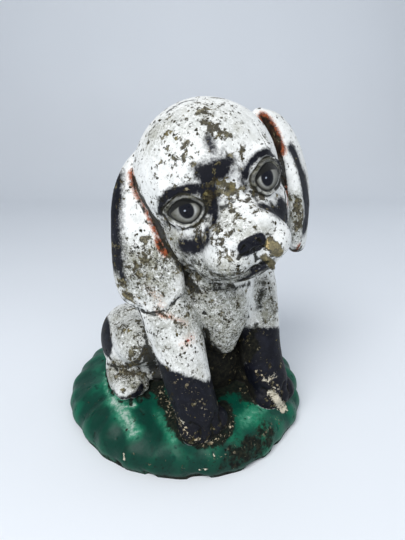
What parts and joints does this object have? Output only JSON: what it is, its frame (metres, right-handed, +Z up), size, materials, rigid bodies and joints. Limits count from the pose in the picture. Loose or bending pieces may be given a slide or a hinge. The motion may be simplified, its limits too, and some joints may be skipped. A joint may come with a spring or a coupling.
{
  "type": "dog garden statue",
  "caption": "Cast-stone garden statue of a sitting puppy with hanging ears and a cocked head, in one piece with its low grassy mound.",
  "frame": {"origin": "centre of the mound's flat underside, on the surface the statue stands on", "axes": "+Z up through the dog; -Y is the way the dog's body faces; +X is the dog's left"},
  "size_m": [0.2477, 0.2575, 0.3021],
  "materials": {
    "painted_stone": "weathered chalky white and black paint over cast stone, with lichen, and glossy green paint on the mound"
  },
  "bodies": {
    "root": {"dog_statue": "painted_stone"}
  },
  "joints": []
}
